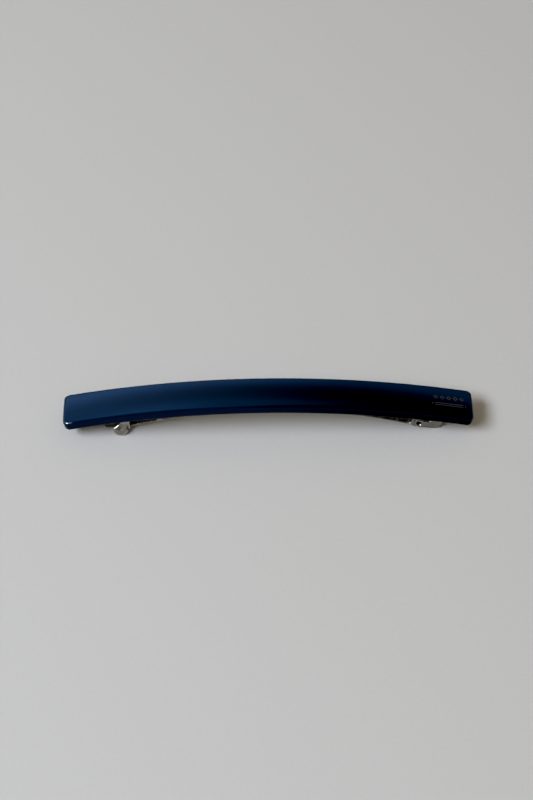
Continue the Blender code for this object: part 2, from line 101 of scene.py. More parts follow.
# Hinge pin
PIN = Vector((38.6 * MM, 2.25 * MM))
PIN_RADIUS = 1.0 * MM
PIN_BORE = 0.62 * MM
PIN_HEAD = 1.3 * MM
PIN_ROLL = 0.29 * MM

# Clasp arm
ARM_RADIUS = 112.25 * MM
ARM_APEX = 7.1 * MM
ARM_THICKNESS = 0.5 * MM
ARM_HALF_WIDTH = 2.4 * MM
ARM_HINGE_X = 38.1 * MM
ARM_BEND_X = -33.0 * MM
ARM_BEND_RADIUS = 14.0 * MM
ARM_BEND_ANGLE = math.radians(10.8)
TONGUE_LENGTH = 6.8 * MM
NECK_END = 6.0 * MM
RIB_START = 8.0 * MM
RIB_MARGIN = 12.0 * MM
RIB_DEPTH = 0.12 * MM
RIB_HALF_WIDTH = 0.5 * MM
RIB_FADE = 2.0 * MM
LUG_BEND = 0.4 * MM
LUG_FOLD = 2.175 * MM - LUG_BEND
LUG_RADIUS = 1.5 * MM
LUG_LENGTH = 2.25 * MM

# Tension spring
SPRING_THICKNESS = 0.3 * MM
SPRING_HALF_WIDTH = 1.7 * MM
SPRING_RADIUS = 155.0 * MM
SPRING_EYE_RADIUS = 1.25 * MM
SPRING_EYE_ANGLE = math.radians(285.0)
SPRING_APEX_X = 3.0 * MM
SPRING_END_X = -28.6 * MM
SPRING_HEAD_LENGTH = 1.5 * MM
GUIDE_BEND = 0.3 * MM
GUIDE_FOLD = 2.7 * MM - GUIDE_BEND
GUIDE_DEPTH = 0.84 * MM

# Latch
LATCH_THICKNESS = 0.35 * MM
LATCH_TOP = BASE_BOTTOM - 0.1 * MM
LATCH_PLATE = (-44.4 * MM, -34.2 * MM)
LATCH_HALF_WIDTH = 2.3 * MM
FULCRUM_ALONG = -37.9 * MM
FULCRUM_REACH = 2.58 * MM
WING_MIDDLE = 2.85 * MM
WING_TOP = BASE_BOTTOM - 0.17 * MM
WALL = (-38.3 * MM, -36.05 * MM)
WALL_HEIGHT = 1.3 * MM
FLARE_BEND = 0.5 * MM
FLARE_ANGLE = math.radians(24.0)
LOBE = (-38.65 * MM, 3.1 * MM)
LOBE_RADIUS = 2.0 * MM
LOBE_HOLE = 0.45 * MM
LOBE_HOLE_PLACE = (-38.95 * MM, 2.95 * MM)
TOOTH = (-37.0 * MM, -36.15 * MM)
TOOTH_REACH = 2.24 * MM
TOOTH_MIDDLE = -4.75 * MM

# Curl of a lobe: past a slanting line at its shoulder, and round its lower edge
SHOULDER_LINE = -0.8 * MM
SHOULDER_NORMAL = Vector((0.49, 0.87))
SHOULDER_WIDTH = 0.8 * MM
CURL_START = 0.75 * LOBE_RADIUS
CURL_RADIUS = 1.6 * MM

# Slices at which a blank can bend
BAR_SLICE = 1.2 * MM
FOIL_SLICE = 0.8 * MM
STRIP_SLICE = 1.5 * MM
WING_SLICE = 0.12 * MM

# Acetate. The colour of its sawn sides is a painted sheen: navy at the latch end, near-black at the hinge
# end. Its skin is clear, and heavier and softer on the rim at the latch end.
ACETATE_DARK = (0.0002, 0.0005, 0.002)
ACETATE_CLOUD = (0.0004, 0.0011, 0.004)
ACETATE_SIDE_SHEEN = (0.001, 0.0035, 0.021)
ACETATE_TINT = (0.02, 0.3, 0.9)
SIDE_SLOPE = (0.1, 0.5)
SIDE_SHEEN_FADE = (-15.0 * MM, 30.0 * MM)
SIDE_SHINE = (0.12, 0.02)
SKIN = 0.06
SKIN_ROUGHNESS = 0.04
RIM_FADE = (-49.0 * MM, -51.0 * MM)
RIM_SKIN = 0.94
RIM_ROUGHNESS = 0.34

# Camera
LENS = 100.0
CAMERA_DISTANCE = 0.5673
CAMERA_ELEVATION = math.radians(47.5)
CAMERA_AZIMUTH = math.radians(-0.86)
LOOK_AT = Vector((-0.00045, -0.0003, APEX_HEIGHT))

# Light
LIGHT_DISTANCE = 1.4
KEY_DIRECTION = (-0.9, -0.5, 1.0)
KEY_SIZE = (1.2, 0.45)
KEY_POWER = 20.2
KEY_COLOUR = (0.85, 0.905, 1.0)
GLINT_DIRECTION = (-1.1, -0.67, 1.0)
GLINT_SIZE = (0.34, 0.14)
GLINT_POWER = 38.0
GLINT_COLOUR = (1.0, 1.0, 1.0)
FILL_COLOUR = (1.0, 0.87, 0.64)
FILL_STRENGTH = 0.3
BACKDROP_COLOUR = (0.62, 0.63, 0.64)
WINDOW_COLOUR = (0.84, 0.96, 1.0)
HORIZON_COLOUR = (0.35, 0.7, 1.0)
FRONT_COLOUR = (0.85, 0.93, 1.0)
BLACK_LEVEL = 0.0032

ROUND_STEPS = 32
HALF_ROUND_STEPS = 12
CORNER_STEPS = 8
TURN_STEPS = 48
WELD = 0.01 * MM


# Node helpers


def node(tree, kind, links=None, **settings):
    """A shader node: settings are its own properties, links maps an input to a socket or a value."""
    made = tree.nodes.new("ShaderNode" + kind)
    for name, value in settings.items():
        setattr(made, name, value)
    for key, value in (links or {}).items():
        if isinstance(value, bpy.types.NodeSocket):
            tree.links.new(value, made.inputs[key])
        else:
            made.inputs[key].default_value = value
    return made


def maths(tree, operation, *values):
    return node(tree, "Math", dict(enumerate(values)), operation=operation).outputs[0]


def product(tree, *factors):
    """The product of several sockets or values."""
    result = factors[0]
    for factor in factors[1:]:
        result = maths(tree, "MULTIPLY", result, factor)
    return result


def remap(tree, value, low, high, new_low=0.0, new_high=1.0):
    """A value remapped smoothly from one range to another, and held at its ends."""
    links = {0: value, 1: low, 2: high, 3: new_low, 4: new_high}
    return node(tree, "MapRange", links, interpolation_type="SMOOTHSTEP").outputs[0]


def noise(tree, place, scale, detail, roughness=0.5):
    links = {"Vector": place, "Scale": scale, "Detail": detail, "Roughness": roughness}
    return node(tree, "TexNoise", links).outputs[0]


def blend_colours(tree, factor, first, second):
    """A blend of two colours, of which each is a socket or (red, green, blue)."""
    colours = [c if isinstance(c, bpy.types.NodeSocket) else (*c, 1.0) for c in (first, second)]
    links = {0: factor, 6: colours[0], 7: colours[1]}
    return node(tree, "Mix", links, data_type="RGBA").outputs[2]


def add_bump(tree, shader, layers):
    """Bump on a shader, from layers of (height, strength, distance) laid over each other."""
    links = {}
    for height, strength, distance in layers:
        links.update({"Height": height, "Strength": strength, "Distance": distance})
        links["Normal"] = node(tree, "Bump", links).outputs[0]
    tree.links.new(links["Normal"], shader.inputs["Normal"])


def new_material(name):
    """A material, its tree, its Principled shader and the object coordinates."""
    material = bpy.data.materials.new(name)
    material.use_nodes = True
    tree = material.node_tree
    shader = tree.nodes["Principled BSDF"]
    place = node(tree, "TexCoord").outputs["Object"]
    return material, tree, shader, place


# Materials


def make_acetate():
    """Polished navy acetate: near-black body, blue-tinted gloss, a clear skin and faint buffing marks.

    The sawn sides shine less than the face, and their navy at the latch end is a painted sheen.
    The rim at the latch end has a heavier, softer skin.
    """
    material, tree, shader, place = new_material("navy_acetate")
    normal = node(tree, "NewGeometry").outputs["Normal"]
    upward = node(tree, "SeparateXYZ", {0: normal}).outputs[2]
    along = node(tree, "SeparateXYZ", {0: place}).outputs[0]

    cloud = noise(tree, place, 55.0, 4.0)
    body = blend_colours(tree, cloud, ACETATE_DARK, ACETATE_CLOUD)
    # Painted sheen: the side faces are painted navy towards the latch end, fading to near-black towards
    # the hinge end.
    sides = remap(tree, upward, *reversed(SIDE_SLOPE))
    painted_side_sheen = product(tree, sides, remap(tree, along, *reversed(SIDE_SHEEN_FADE)))
    body = blend_colours(tree, painted_side_sheen, body, ACETATE_SIDE_SHEEN)
    tree.links.new(body, shader.inputs["Base Color"])

    buffed = noise(tree, place, 420.0, 5.0)
    tree.links.new(remap(tree, buffed, 0.3, 0.7, 0.09, 0.14), shader.inputs["Roughness"])
    wave = noise(tree, place, 38.0, 1.0)
    add_bump(tree, shader, [(wave, 0.25, 0.05 * MM), (buffed, 0.06, 0.02 * MM)])

    shader.inputs["IOR"].default_value = 1.49
    shader.inputs["Specular Tint"].default_value = (*ACETATE_TINT, 1.0)
    side_shine = remap(tree, along, *SIDE_SHEEN_FADE, *SIDE_SHINE)
    shine = remap(tree, upward, *SIDE_SLOPE, side_shine, 1.0)
    tree.links.new(shine, shader.inputs["Specular IOR Level"])

    rim = product(
        tree,
        remap(tree, upward, 0.4, 0.6),
        remap(tree, upward, 0.92, 0.8),
        remap(tree, along, *RIM_FADE),
    )
    skin = maths(tree, "MULTIPLY_ADD", rim, RIM_SKIN, product(tree, shine, SKIN))
    tree.links.new(skin, shader.inputs["Coat Weight"])
    skin_roughness = remap(tree, rim, 0.0, 1.0, SKIN_ROUGHNESS, RIM_ROUGHNESS)
    tree.links.new(skin_roughness, shader.inputs["Coat Roughness"])
    return material


def make_metal(name, bright, dull, rough, grain):
    """Plated sheet metal: rolling grain, cloudy tarnish and small handling marks."""
    material, tree, shader, place = new_material(name)
    stretched = node(tree, "Mapping", {"Vector": place, "Scale": (0.08, 1.0, 1.0)}).outputs[0]
    rolled = noise(tree, stretched, grain, 4.0, 0.6)
    tarnish = noise(tree, place, 260.0, 5.0, 0.6)
    marks = noise(tree, place, 1500.0, 2.0)
    shade = remap(tree, tarnish, 0.35, 0.7)
    tree.links.new(blend_colours(tree, shade, bright, dull), shader.inputs["Base Color"])
    worn = maths(tree, "MULTIPLY_ADD", marks, 0.35, product(tree, rolled, 0.65))
    tree.links.new(remap(tree, worn, 0.3, 0.7, *rough), shader.inputs["Roughness"])
    add_bump(tree, shader, [(rolled, 0.1, 0.02 * MM), (marks, 0.08, 0.03 * MM)])
    shader.inputs["Metallic"].default_value = 1.0
    return material


def make_foil():
    """Dull hot-stamped foil, slightly patchy."""
    material, tree, shader, place = new_material("stamped_foil")
    patches = noise(tree, place, 900.0, 4.0, 0.7)
    worn = remap(tree, patches, 0.35, 0.65)
    colour = blend_colours(tree, worn, (0.06, 0.055, 0.048), (0.034, 0.031, 0.028))
    tree.links.new(colour, shader.inputs["Base Color"])
    tree.links.new(remap(tree, patches, 0.3, 0.7, 0.35, 0.5), shader.inputs["Roughness"])
    shader.inputs["Specular IOR Level"].default_value = 0.2
    return material


def make_floor_material():
    """A matt pale surface with a faint speckle."""
    material, tree, shader, place = new_material("pale_floor")
    speckle = noise(tree, place, 900.0, 3.0)
    colour = blend_colours(tree, speckle, (0.585, 0.585, 0.585), (0.615, 0.615, 0.615))
    tree.links.new(colour, shader.inputs["Base Color"])
    shader.inputs["Roughness"].default_value = 0.95
    shader.inputs["Specular IOR Level"].default_value = 0.1
    return material


# Numbers and outlines in a plane


def clamp(value):
    """A value held between 0 and 1."""
    return min(max(value, 0.0), 1.0)


def arc(centre, radius, start, end, steps):
    """Points on an arc, from the start angle to the end angle, in degrees."""
    turn = [math.radians(start + (end - start) * i / steps) for i in range(steps + 1)]
    return [
        (centre[0] + radius * math.cos(a), centre[1] + radius * math.sin(a)) for a in turn
    ]


def circle(centre, radius):
    return arc(centre, radius, 0.0, 360.0, ROUND_STEPS)[:-1]


def long_round(centre, length, width):
    """A long shape with round ends that runs along the first axis."""
    reach = (length - width) / 2
    right = arc((centre[0] + reach, centre[1]), width / 2, -90.0, 90.0, HALF_ROUND_STEPS)
    left = arc((centre[0] - reach, centre[1]), width / 2, 90.0, 270.0, HALF_ROUND_STEPS)
    return right + left


def rounded(corners):
    """A polygon whose corners (x, y, radius) are rounded by arcs."""
    points = []
    for i, (x, y, radius) in enumerate(corners):
        here = Vector((x, y))
        if radius == 0.0:
            points.append((x, y))
            continue
        back = (Vector(corners[i - 1][:2]) - here).normalized()
        ahead = (Vector(corners[(i + 1) % len(corners)][:2]) - here).normalized()
        half = back.angle(ahead) / 2
        centre = here + (back + ahead).normalized() * (radius / math.sin(half))
        start = here + back * (radius / math.tan(half)) - centre
        turn = start.angle_signed(here + ahead * (radius / math.tan(half)) - centre)
        for k in range(CORNER_STEPS + 1):
            spoke = start.copy()
            spoke.rotate(Matrix.Rotation(-turn * k / CORNER_STEPS, 2))
            points.append(tuple(centre + spoke))
    return points


def both_sides(lower):
    """A closed outline from the corners of its -Y side and their mirror image."""
    return rounded(lower + [(x, -y, radius) for x, y, radius in reversed(lower)])


# Solids


def plate(loops, thickness, edge):
    """A flat blank in XY, half its thickness each side, with its rims rounded by an edge radius."""
    curve = bpy.data.curves.new("outline", "CURVE")
    curve.dimensions = "2D"
    curve.fill_mode = "BOTH"
    curve.extrude = thickness / 2 - edge
    curve.bevel_depth = edge
    curve.bevel_resolution = 3
    curve.offset = -edge
    for loop in loops:
        spline = curve.splines.new("POLY")
        spline.points.add(len(loop) - 1)
        for point, (x, y) in zip(spline.points, loop, strict=True):
            point.co = (x, y, 0.0, 1.0)
        spline.use_cyclic_u = True
    guide = bpy.data.objects.new("outline", curve)
    bpy.context.scene.collection.objects.link(guide)
    bpy.context.view_layer.update()
    graph = bpy.context.evaluated_depsgraph_get()
    mesh = bpy.data.meshes.new_from_object(guide.evaluated_get(graph))
    bpy.data.objects.remove(guide)
    bpy.data.curves.remove(curve)
    solid = bmesh.new()
    solid.from_mesh(mesh)
    bpy.data.meshes.remove(mesh)
    bmesh.ops.remove_doubles(solid, verts=solid.verts, dist=WELD / 10)
    return solid


def join(solid, other):
    """Adds another bmesh to a solid."""
    mesh = bpy.data.meshes.new("joined")
    other.to_mesh(mesh)
    other.free()
    solid.from_mesh(mesh)
    bpy.data.meshes.remove(mesh)


def turned(profile):
    """A turned solid about Z from a profile (radius, height); a profile off the axis is a closed ring."""
    solid = bmesh.new()
    verts = [solid.verts.new((radius, 0.0, height)) for radius, height in profile]
    edges = [solid.edges.new(pair) for pair in zip(verts, verts[1:])]
    if profile[0][0] > 0.0:
        edges.append(solid.edges.new((verts[-1], verts[0])))
    bmesh.ops.spin(
        solid,
        geom=verts + edges,
        axis=(0.0, 0.0, 1.0),
        cent=(0.0, 0.0, 0.0),
        angle=math.tau,
        steps=TURN_STEPS,
        use_merge=True,
    )
    bmesh.ops.remove_doubles(solid, verts=solid.verts, dist=WELD / 10)
    return solid


def slice_across(solid, axis, places):
    """Cuts the faces at planes across an axis, so that the solid can bend there."""
    normal = Vector([float(axis == k) for k in range(3)])
    for place in places:
        everything = solid.verts[:] + solid.edges[:] + solid.faces[:]
        bmesh.ops.bisect_plane(
            solid, geom=everything, dist=WELD / 10, plane_co=normal * place, plane_no=normal
        )


def spread(start, end, step):
    """Places between two ends, evenly spaced by about a step, without the ends."""
    count = max(1, math.ceil(abs(end - start) / step))
    return [start + (end - start) * i / count for i in range(1, count)]


def reshape(solid, place):
    """Moves each point (x, y, z) to place(x, y, z)."""
    for vert in solid.verts:
        vert.co = Vector(place(*vert.co))


def trim_below(solid, height):
    """Cuts off what is below a height and closes the cut with a flat face."""
    everything = solid.verts[:] + solid.edges[:] + solid.faces[:]
    cut = bmesh.ops.bisect_plane(
        solid,
        geom=everything,
        dist=WELD / 100,
        plane_co=(0.0, 0.0, height),
        plane_no=(0.0, 0.0, -1.0),
        clear_outer=True,
    )
    rim = [e for e in cut["geom_cut"] if isinstance(e, bmesh.types.BMEdge)]
    bmesh.ops.holes_fill(solid, edges=rim, sides=0)


def on_arch(along, across, rise):
    """World place of a point on the bar's arch: arc length, side and height over the underside."""
    angle = along / ARCH_RADIUS
    reach = ARCH_RADIUS + rise
    return (
        reach * math.sin(angle),
        across,
        APEX_HEIGHT - ARCH_RADIUS + reach * math.cos(angle),
    )


def fold_side(y, z, start, radius, towards):
    """Folds what lies beyond a start line, at either side, by a right angle towards +z or -z."""
    beyond = abs(y) - start
    if beyond <= 0.0:
        return y, z
    angle = min(beyond / radius, math.pi / 2)
    straight = max(beyond - radius * math.pi / 2, 0.0)
    reach = radius - towards * z
    across = start + reach * math.sin(angle)
    depth = radius - reach * math.cos(angle) + straight
    return math.copysign(across, y), towards * depth


def unfold(start, radius, depth):
    """How far out on the flat blank a point lies that ends up at a depth beyond a right-angle fold."""
    if depth < radius:
        return start + radius * math.acos(1.0 - depth / radius)
    return start + radius * (math.pi / 2 - 1.0) + depth


def fold_lines(start, radius):
    """Places across a blank where it is cut so that it can fold at both sides."""
    lines = [start + radius * math.pi / 2 * k / 6 for k in range(7)]
    return lines + [-line for line in lines]


class BentPath:
    """A path in a plane made of arcs. Each stretch is (length, turn), a left turn being positive."""

    def __init__(self, start, heading, stretches):
        self.starts = []
        self.length = 0.0
        place = Vector(start)
        for length, turn in stretches:
            self.starts.append((self.length, place.copy(), heading, length, turn))
            place = self._walk(place, heading, length, turn, length)
            heading += turn
            self.length += length

    @staticmethod
    def _walk(place, heading, length, turn, distance):
        if turn == 0.0:
            return place + Vector((math.cos(heading), math.sin(heading))) * distance
        radius = length / turn
        end = heading + turn * distance / length
        return place + radius * Vector(
            (math.sin(end) - math.sin(heading), math.cos(heading) - math.cos(end))
        )

    def at(self, distance, offset):
        """The point at a distance along the path, moved to its left by an offset."""
        begun = [s for s in self.starts if s[0] <= distance] or self.starts[:1]
        begin, place, heading, length, turn = begun[-1]
        here = self._walk(place, heading, length, turn, distance - begin)
        direction = heading + turn * (distance - begin) / length
        return here + offset * Vector((-math.sin(direction), math.cos(direction)))

    def stations(self, step, most_turn):
        """Distances at which a strip is cut so that it follows the path."""
        places = []
        for begin, _, _, length, turn in self.starts:
            count = max(math.ceil(length / step), math.ceil(abs(turn) / most_turn))
            places += [begin + length * i / count for i in range(count)]
        return places[1:]


def add_piece(name, solid, material, body, nodes):
    """A smooth-shaded piece from a bmesh in world space, riding on a body in place of CAD nodes."""
    bmesh.ops.recalc_face_normals(solid, faces=solid.faces)
    mesh = bpy.data.meshes.new(name)
    solid.to_mesh(mesh)
    solid.free()
    mesh.materials.append(material)
    mesh.shade_smooth()
    piece = bpy.data.objects.new(name, mesh)
    bpy.context.scene.collection.objects.link(piece)
    smoothing = piece.modifiers.new("flat_faces_stay_flat", "WEIGHTED_NORMAL")
    smoothing.weight = 80
    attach(piece, body)
    if nodes:
        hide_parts(*nodes)


# Pieces


def on_bar(x, y, z):
    """World place of a point of the flat bar: crowned across, then bent to the arch."""
    drop = BAR_CROWN * (2 * y / BAR_WIDTH) ** 2 * z / BAR_THICKNESS
    return on_arch(x, y, z - drop)


def make_bar():
    """The acetate bar: rounded in plan, crowned across, with softly polished edges."""
    widest = ARCH_RADIUS + BAR_THICKNESS - BAR_EDGE
    half = ARCH_RADIUS * math.asin(BAR_LENGTH / 2 / widest)
    solid = bmesh.new()
    bmesh.ops.create_cube(solid, size=1.0)
    size = (2 * half, BAR_WIDTH, BAR_THICKNESS)
    bmesh.ops.scale(solid, verts=solid.verts, vec=size)
    bmesh.ops.translate(solid, verts=solid.verts, vec=(0.0, 0.0, BAR_THICKNESS / 2))
    upright = [e for e in solid.edges if abs(e.verts[0].co.z - e.verts[1].co.z) > WELD]
    bmesh.ops.bevel(solid, geom=upright, offset=BAR_CORNER, segments=12, profile=0.5, affect="EDGES")
    rims = [e for e in solid.edges if abs(e.verts[0].co.z - e.verts[1].co.z) < WELD]
    bmesh.ops.bevel(solid, geom=rims, offset=BAR_EDGE, segments=8, profile=0.5, affect="EDGES")
    slice_across(solid, 0, spread(-half, half, BAR_SLICE))
    slice_across(solid, 1, spread(-BAR_WIDTH / 2, BAR_WIDTH / 2, BAR_WIDTH / 14))
    reshape(solid, on_bar)
    add_piece("bar_skin", solid, make_acetate(), "barrette_body", ["acetate_bar"])


def lozenge(centre, half):
    x, y = centre
    return [(x - half, y), (x, y - half), (x + half, y), (x, y + half)]


def make_ornament():
    """Stamped foil, flush on the bar's right end: open lozenges over a double rule between two dots."""
    upper, lower = ORNAMENT_ROWS
    marks = []
    for k in range(-2, 3):
        centre = (ORNAMENT_ALONG + k * LOZENGE_SPACING, upper)
        marks.append(lozenge(centre, LOZENGE_HALF))
        marks.append(lozenge(centre, LOZENGE_HALF - STROKE * 1.5))
    for side in (-1, 1):
        rule = (ORNAMENT_ALONG, lower + side * RULE_GAP / 2)
        marks.append(long_round(rule, RULE_LENGTH, STROKE))
        marks.append(circle((ORNAMENT_ALONG + side * (RULE_LENGTH / 2 + RULE_GAP), lower), STROKE))
    solid = plate(marks, FOIL_THICKNESS, edge=0.004 * MM)
    ends = (ORNAMENT_ALONG - RULE_LENGTH, ORNAMENT_ALONG + RULE_LENGTH)
    slice_across(solid, 0, spread(*ends, FOIL_SLICE))
    reshape(solid, lambda x, y, z: on_bar(x, y, BAR_THICKNESS + z))
    add_piece("stamped_ornament", solid, make_foil(), "barrette_body", [])


def pin_on_arch():
    """The pin's centre as arc length along the arch and height over it."""
    centre = APEX_HEIGHT - ARCH_RADIUS
    reach = math.hypot(PIN.x, PIN.y - centre)
    return ARCH_RADIUS * math.atan2(PIN.x, PIN.y - centre), reach - ARCH_RADIUS


def make_base(nickel):
    """The stamped base strip. Its ears are tabs of the same blank, folded down between relief slots."""

    def out(rise):
        return unfold(EAR_FOLD, EAR_BEND, BASE_MIDDLE - rise)

    relief = 0.45 * MM
    root = EAR_FOLD - 0.05 * MM
    lower = [
        (BASE_LEFT, -BASE_HALF_WIDTH, 2.2 * MM),
        (EAR_START - relief, -BASE_HALF_WIDTH, 0.25 * MM),
        (EAR_START - relief, -root, 0.2 * MM),
        (EAR_START, -root, 0.2 * MM),
        (EAR_START, -out(EAR_BOTTOM + 0.12 * MM), 1.25 * MM),
        (EAR_END, -out(EAR_BOTTOM), 2.0 * MM),
        (EAR_END, -root, 0.2 * MM),
        (EAR_END + relief, -root, 0.2 * MM),
        (EAR_END + relief, -BASE_HALF_WIDTH, 0.25 * MM),
        (BASE_RIGHT, -BASE_HALF_WIDTH, 2.2 * MM),
    ]
    loops = [both_sides(lower)]
    rivets = [*RIVETS_ALONG, LATCH_RIVET_ALONG]
    loops += [circle((along, 0.0), RIVET_RADIUS + CLEARANCE) for along in rivets]
    loops += [long_round((along, 0.0), SLOT_LENGTH, SLOT_WIDTH) for along in SLOTS_ALONG]
    pin_along, pin_rise = pin_on_arch()
    left, right = EAR_WINDOW_ALONG
    low, high = EAR_WINDOW_RISE
    for side in (-1, 1):
        loops.append(circle((pin_along, side * out(pin_rise)), PIN_RADIUS + CLEARANCE))
        loops.append(
            rounded(
                [
                    (left, side * out(low), 0.55 * MM),
                    (right, side * out(low), 0.55 * MM),
                    (right, side * out(high), 0.2 * MM),
                    (left, side * out(high), 0.2 * MM),
                ]
            )
        )
    solid = plate(loops, BASE_THICKNESS, edge=0.16 * MM)
    slice_across(solid, 0, spread(BASE_LEFT, BASE_RIGHT, STRIP_SLICE))
    slice_across(solid, 1, fold_lines(EAR_FOLD, EAR_BEND))

    def fold_and_bow(x, y, z):
        if EAR_START - WELD < x < EAR_END + WELD:
            y, z = fold_side(y, z, EAR_FOLD, EAR_BEND, -1)
        return on_arch(x, y, BASE_MIDDLE + z)

    reshape(solid, fold_and_bow)
    trim_below(solid, 0.0)
    add_piece("base_strip", solid, nickel, "barrette_body", ["base_plate"])


def make_pin(nickel):
    """The tubular hinge rivet: a bored shank with a rolled rim at each end."""
    seat = EAR_OUTSIDE + CLEARANCE
    roll = (PIN_HEAD - PIN_BORE) / 2
    rim = [
        (radius, seat + height * PIN_ROLL / roll)
        for radius, height in arc((PIN_BORE + roll, 0.0), roll, 180.0, 0.0, 16)
    ]
    upper = [(PIN_BORE, 0.0), *rim, (PIN_RADIUS, seat)]
    lower = [(radius, -height) for radius, height in reversed(upper)]
    solid = turned(upper + lower[:-1])
    reshape(solid, lambda x, y, z: (PIN.x + x, z, PIN.y + y))
    add_piece("hinge_rivet", solid, nickel, "barrette_body", ["hinge_pin"])


def make_rivet(node_name, along, top, seat, head, brass):
    """A rivet with a domed head under the sheet and a shank up to its top."""
    dome = [
        (head * out, seat - RIVET_RIM - RIVET_DOME * down)
        for out, down in arc((0.0, 0.0), 1.0, 0.0, 90.0, 9)
    ]
    profile = [
        (0.0, top),
        (RIVET_RADIUS - 0.1 * MM, top),
        (RIVET_RADIUS, top - 0.1 * MM),
        (RIVET_RADIUS, seat),
        (head - 0.05 * MM, seat),
        *dome,
    ]
    solid = turned([*profile[:-1], (0.0, profile[-1][1])])
    slope = Matrix.Rotation(along / ARCH_RADIUS, 3, "Y")
    centre = Vector(on_arch(along, 0.0, 0.0))
    reshape(solid, lambda x, y, z: centre + slope @ Vector((x, y, z)))
    add_piece(f"{node_name}_turned", solid, brass, "barrette_body", [node_name])


def arm_path():
    """The arm's middle line, from the hinge end to the tip of its tongue, walked towards -X."""
    start = math.asin(ARM_HINGE_X / ARM_RADIUS)
    bend = math.asin(ARM_BEND_X / ARM_RADIUS)
    centre = ARM_APEX - ARM_RADIUS
    begin = (ARM_RADIUS * math.sin(start), centre + ARM_RADIUS * math.cos(start))
    return BentPath(
        begin,
        math.pi - start,
        [
            (ARM_RADIUS * (start - bend), start - bend),
            (ARM_BEND_RADIUS * ARM_BEND_ANGLE, -ARM_BEND_ANGLE),
            (TONGUE_LENGTH, 0.0),
        ],
    )


def make_arm(nickel):
    """The clasp arm: a bowed strip with a stamped rib, a rounded tongue and two folded hinge lugs."""
    path = arm_path()
    here, ahead = path.at(0.0, 0.0), path.at(0.01 * MM, 0.0)
    tangent = (ahead - here).normalized()
    pin_along = (PIN - here).dot(tangent)
    pin_height = (PIN - here).dot(Vector((tangent.y, -tangent.x)))
    slope = math.degrees(math.atan2(tangent.y, -tangent.x))
    neck = ARM_HALF_WIDTH - 0.1 * MM
    relief = 0.3 * MM
    lug = [(0.05 * MM, -LUG_FOLD)]
    for along, height in arc((pin_along, pin_height), LUG_RADIUS, 255.0 - slope, 62.0 - slope, 24):
        lug.append((along, -unfold(LUG_FOLD, LUG_BEND, height)))
    lug.append((LUG_LENGTH - 0.5 * MM, -unfold(LUG_FOLD, LUG_BEND, 0.6 * MM)))
    lug.append((LUG_LENGTH, -unfold(LUG_FOLD, LUG_BEND, 0.15 * MM)))
    sharp = [(x, y, 0.0) for x, y in lug]
    lower = [
        *sharp,
        (LUG_LENGTH, -LUG_FOLD, 0.0),
        (LUG_LENGTH + relief, -LUG_FOLD, 0.0),
        (LUG_LENGTH + relief, -neck, 0.0),
        (NECK_END, -neck, 0.0),
        (NECK_END + 1.0 * MM, -ARM_HALF_WIDTH, 0.0),
        (path.length, -ARM_HALF_WIDTH, 1.6 * MM),
    ]
    loops = [both_sides(lower)]
    for side in (-1, 1):
        out = unfold(LUG_FOLD, LUG_BEND, pin_height)
        loops.append(circle((pin_along, side * out), PIN_RADIUS + CLEARANCE))
    solid = plate(loops, ARM_THICKNESS, edge=0.2 * MM)
    slice_across(solid, 0, path.stations(STRIP_SLICE, math.radians(2.5)))
    slice_across(solid, 1, fold_lines(LUG_FOLD, LUG_BEND))
    slice_across(solid, 1, spread(-1.0 * MM, 1.0 * MM, 0.2 * MM))
    rib_end = path.length - RIB_MARGIN

    def fold_and_bow(x, y, z):
        if x < LUG_LENGTH + WELD:
            y, z = fold_side(y, z, LUG_FOLD, LUG_BEND, -1)
        fade = clamp((x - RIB_START) / RIB_FADE) * clamp((rib_end - x) / RIB_FADE)
        press = RIB_DEPTH * fade * math.exp(-((y / RIB_HALF_WIDTH) ** 2))
        place = path.at(x, z + press)
        return (place.x, y, place.y)

    reshape(solid, fold_and_bow)
    add_piece("arm_strip", solid, nickel, "arm", ["clasp_arm"])


def spring_path():
    """The spring's middle line: round the eye, then one long arc to the free end, towards -X."""
    leave = math.asin((PIN.x - SPRING_APEX_X) / (SPRING_RADIUS - SPRING_EYE_RADIUS))
    end = math.asin((SPRING_END_X - SPRING_APEX_X) / SPRING_RADIUS)
    first = math.pi - leave - SPRING_EYE_ANGLE
    begin = PIN + SPRING_EYE_RADIUS * Vector((math.sin(first), -math.cos(first)))
    return BentPath(
        begin,
        first,
        [
            (SPRING_EYE_RADIUS * SPRING_EYE_ANGLE, SPRING_EYE_ANGLE),
            (SPRING_RADIUS * (leave - end), leave - end),
        ],
    )


def make_spring(sprung):
    """The tension spring, with a cross head at its free end folded down beside the arm."""
    path = spring_path()
    head = unfold(GUIDE_FOLD, GUIDE_BEND, GUIDE_DEPTH)
    head_start = path.length - SPRING_HEAD_LENGTH
    lower = [
        (0.0, -SPRING_HALF_WIDTH, 0.15 * MM),
        (head_start, -SPRING_HALF_WIDTH, 0.3 * MM),
        (head_start, -head, 0.3 * MM),
        (path.length, -head, 0.3 * MM),
    ]
    solid = plate([both_sides(lower)], SPRING_THICKNESS, edge=0.12 * MM)
    slice_across(solid, 0, path.stations(STRIP_SLICE, math.radians(7.0)))
    slice_across(solid, 1, fold_lines(GUIDE_FOLD, GUIDE_BEND))

    def fold_and_bow(x, y, z):
        y, z = fold_side(y, z, GUIDE_FOLD, GUIDE_BEND, 1)
        place = path.at(x, z)
        return (place.x, y, place.y)

    reshape(solid, fold_and_bow)
    add_piece("spring_strip", solid, sprung, "spring", ["tension_spring"])


